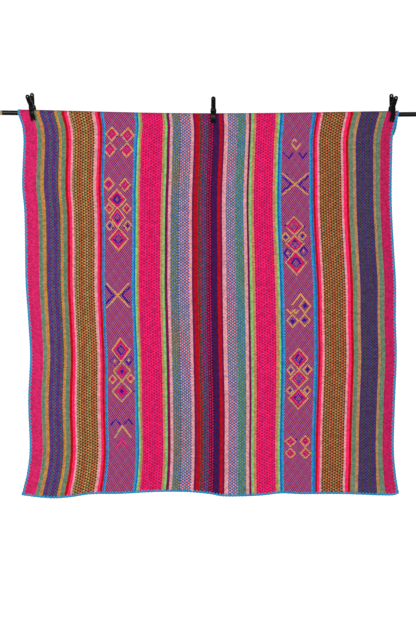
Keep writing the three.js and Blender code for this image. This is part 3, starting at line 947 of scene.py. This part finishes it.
def armStations():
    top = clip["top"] - clip["handle"] / 2
    quarter = np.radians(np.linspace(90, 0, clip["arcSteps"]))
    halfTurn = np.radians(np.linspace(0, 180, clip["arcSteps"]))
    ups = [*(top + clip["handle"] / 2 * np.sin(quarter))]
    ups += [*(clip["ringAt"] + clip["ringRadius"] * np.cos(halfTurn))]
    ups += [*np.linspace(*clip["handleRows"]), *np.linspace(*clip["jawRows"])]
    ups += [clip["notchTop"], clip["jawEnd"] + 0.3, clip["jawEnd"]]
    return sorted(set(round(float(up), 4) for up in ups), reverse=True)


# An arm with a channelled handle, a ring hole and a forked jaw, as a closed skin in the clip's own axes
def armMesh():
    curve = armCurve()
    slopes = np.gradient(curve, axis=0)
    order = np.argsort(curve[:, 1])
    ups = curve[order, 1]
    shares = (0, 0.3, 0.52, 0.66, 0.8, 0.94, 1)
    half = clip["thickness"] / 2
    places = {}
    vertices = []
    faces = []

    def vertex(point):
        key = tuple(round(float(value), 3) for value in point)
        if key not in places:
            places[key] = len(vertices)
            vertices.append(point)
        return places[key]

    def face(side, *corners):
        ring = list(dict.fromkeys(corners))
        if len(ring) > 2:
            faces.append(ring if side < 0 else ring[::-1])

    grid = []
    for up in armStations():
        out = np.interp(up, ups, curve[order, 0])
        slope = np.array([np.interp(up, ups, slopes[order, 0]), np.interp(up, ups, slopes[order, 1])])
        slope /= np.linalg.norm(slope)
        normal = np.array([-slope[1], slope[0]])
        wide = halfWidthAt(up)
        cut = min(cutAt(up), wide)
        channel = smoothStep((up - clip["channelLow"]) / 5) * smoothStep((clip["channelHigh"] - up) / 2)
        channel = clip["channelDepth"] * float(channel)
        tipUp = clip["jawEnd"] + clip["tipLength"]
        tipRound = clip["tipRound"] * float(smoothStep((tipUp - up) / clip["tipLength"]))
        row = {-1: [[], []], 1: [[], []]}
        for side in row:
            for share in shares:
                x = side * (cut + (wide - cut) * share)
                wall = 1 - smoothStep((share - clip["channelSide"]) / clip["channelWall"])
                sunk = channel * float(wall) * float(smoothStep((wide - cut) / 3))
                edge = clip["edge"] if share == 1 or (share == 0 and cut > 0.2) else 0.0
                crown = clip["crown"] * (1 - share * share) * (1 - min(channel, 1))
                lifts = (half - sunk - edge + crown - tipRound, edge + tipRound - half)
                for skin, lift in zip(row[side], lifts):
                    place = np.array([out, up]) + normal * lift
                    skin.append(vertex((x, -place[0], place[1])))
        grid.append((cut, row))
    for (cutA, rowA), (cutB, rowB) in zip(grid, grid[1:]):
        for side in (-1, 1):
            front, back = rowA[side]
            lowFront, lowBack = rowB[side]
            for k in range(len(shares) - 1):
                face(side, front[k], front[k + 1], lowFront[k + 1], lowFront[k])
                face(side, back[k], lowBack[k], lowBack[k + 1], back[k + 1])
            face(side, front[-1], back[-1], lowBack[-1], lowFront[-1])
            if cutA > 0 or cutB > 0:
                face(side, front[0], lowFront[0], lowBack[0], back[0])
    for side, (front, back) in grid[-1][1].items():
        for k in range(len(shares) - 1):
            face(side, front[k], front[k + 1], back[k + 1], back[k])
    return np.array(vertices), faces


# The coil of spring wire between the arms, and its two legs up their inner sides
coil = {
    "wire": 0.7, "turns": 8, "steps": 22, "sides": 8,
    "leg": 13, "legFoot": 0.8, "legSteps": 8, "splay": 0.06,
}


def springPath():
    radius = clip["springRadius"] - coil["wire"]
    half = clip["springLength"] / 2 - coil["wire"]
    count = coil["turns"] * coil["steps"] + coil["steps"] // 2
    turn = np.linspace(0, 2 * np.pi * coil["turns"] + np.pi, count)
    across = -half + 2 * half * turn / turn[-1]
    wound = np.stack([across, -radius * np.cos(turn), clip["springAt"] + radius * np.sin(turn)], axis=-1)
    lift = np.linspace(coil["leg"], coil["legFoot"], coil["legSteps"])
    legs = np.stack([0 * lift + half, radius + coil["splay"] * lift, clip["springAt"] + lift], axis=-1)
    first, second = legs * (-1, -1, 1), legs
    return np.concatenate([first, wound, second[::-1]])


def makeClips(plastic, steel):
    armVertices, armFaces = armMesh()
    spring = springPath()
    for each in clips:
        turn = (
            Matrix.Rotation(math.radians(each["lean"]), 3, "Y")
            @ Matrix.Rotation(math.radians(each["tilt"]), 3, "X")
            @ Matrix.Rotation(math.radians(each["yaw"]), 3, "Z")
        )
        turn = np.array(turn)
        place = np.array([each["x"], 0, float(rodAxis(each["x"]))])
        for which, sign in (("front", 1), ("back", -1)):
            local = armVertices * np.array([sign, sign, 1])
            name = "clip_" + each["name"] + "_" + which
            made = makeObject(name + "_lever", (local @ turn.T + place) * mm, armFaces, plastic)
            dress(made, "clip_plastic", name + "_arm")
        wound = ringsAlong((spring @ turn.T + place) * mm, coil["wire"] * mm, coil["sides"])
        wire = makeTube("clip_" + each["name"] + "_coil", wound, steel)
        dress(wire, "clip_spring", "clip_" + each["name"] + "_spring")
    print("clips", len(clips))


# Stage: a pale floor well under the hem, soft lights and an even pale surround
stage = {
    "floor": -1750,
    "floorHalf": 9,  # metres
    "floorGlow": 0.5,  # lit through, as a light table is
    "world": 0.63,
    "backdrop": 1.05,
    "mirrored": 0.1,  # black cards round the camera keep the glossy blacks black
    "paint": "f7f7f6",
    "aim": (0, 0, -0.6),  # metres
    "lamps": (  # place in metres, width, height and watts
        ("key", (-1.9, -3.6, 0.9), 1.6, 3.2, 46),
        ("front", (0.2, -6, 0.35), 4.6, 2.6, 60),
        ("rim", (0.4, 2.8, 1.6), 2, 2, 30),
    ),
}


def addStage():
    half = stage["floorHalf"]
    z = stage["floor"] * mm
    corners = [(-half, -half, z), (half, -half, z), (half, half, z), (-half, half, z)]
    material, tree, shader = newMaterial("matteWhitePaint")
    setInputs(tree, shader, {
        "Base Color": (*linear(stage["paint"]), 1), "Roughness": 0.8,
        "Emission Color": (1, 1, 1, 1), "Emission Strength": stage["floorGlow"],
    })
    floor = makeObject("floor", corners, [(0, 1, 2, 3)], material)
    floor.visible_glossy = False
    world = bpy.data.worlds.new("studio")
    world.use_nodes = True
    tree = world.node_tree
    path = addNode(tree, "ShaderNodeLightPath")
    soft = addNode(tree, "ShaderNodeMix", {
        0: path.outputs["Is Glossy Ray"], 2: stage["world"], 3: stage["mirrored"],
    })
    strength = addNode(tree, "ShaderNodeMix", {
        0: path.outputs["Is Camera Ray"], 2: soft.outputs[0], 3: stage["backdrop"],
    })
    setInputs(tree, tree.nodes["Background"], {"Color": (1, 1, 1, 1), "Strength": strength.outputs[0]})
    bpy.context.scene.world = world
    bpy.context.scene.view_settings.view_transform = "Standard"
    for name, place, wide, tall, power in stage["lamps"]:
        data = bpy.data.lights.new(name, "AREA")
        data.shape = "RECTANGLE"
        data.size = wide
        data.size_y = tall
        data.energy = power
        lamp = bpy.data.objects.new(name, data)
        lamp.location = place
        lamp.rotation_euler = (Vector(stage["aim"]) - Vector(place)).to_track_quat("-Z", "Y").to_euler()
        bpy.context.scene.collection.objects.link(lamp)


addCamera()
addStage()
print("stage and camera")

woven = wovenWoolMaterial()
crochet = spunYarnMaterial("dyedCrochetWool")
sewing = spunYarnMaterial("dyedSewingWool")

rodPiece = dress(makeRod(hardMaterial(blackLacquer), hardMaterial(bareSoftwood)), "rod_lacquer", "rod")
edgings = {
    "left": dress(makeSideEdging("crochet_left", leftEdge, -1, crochet), "crochet_wool", "edging_left"),
    "right": dress(makeSideEdging("crochet_right", rightEdge, 1, crochet), "crochet_wool", "edging_right"),
    "hem": dress(makeHemEdging("crochet_hem", "front", crochet), "crochet_wool", "edging_hem"),
    "flap": dress(makeHemEdging("crochet_flap", "flap", crochet), "crochet_wool", "edging_flap"),
}
seamPiece = dress(makeSeam(sewing), "woven_wool")
makeClips(hardMaterial(mouldedPlastic), hardMaterial(springSteel))

for panel in panels:
    made = dress(makePanel(panel, woven), "woven_wool", "panel_" + panel["name"])
    together = [edgings[panel["name"]]]
    if panel["name"] == "left":
        together += [edgings["hem"], edgings["flap"], seamPiece]
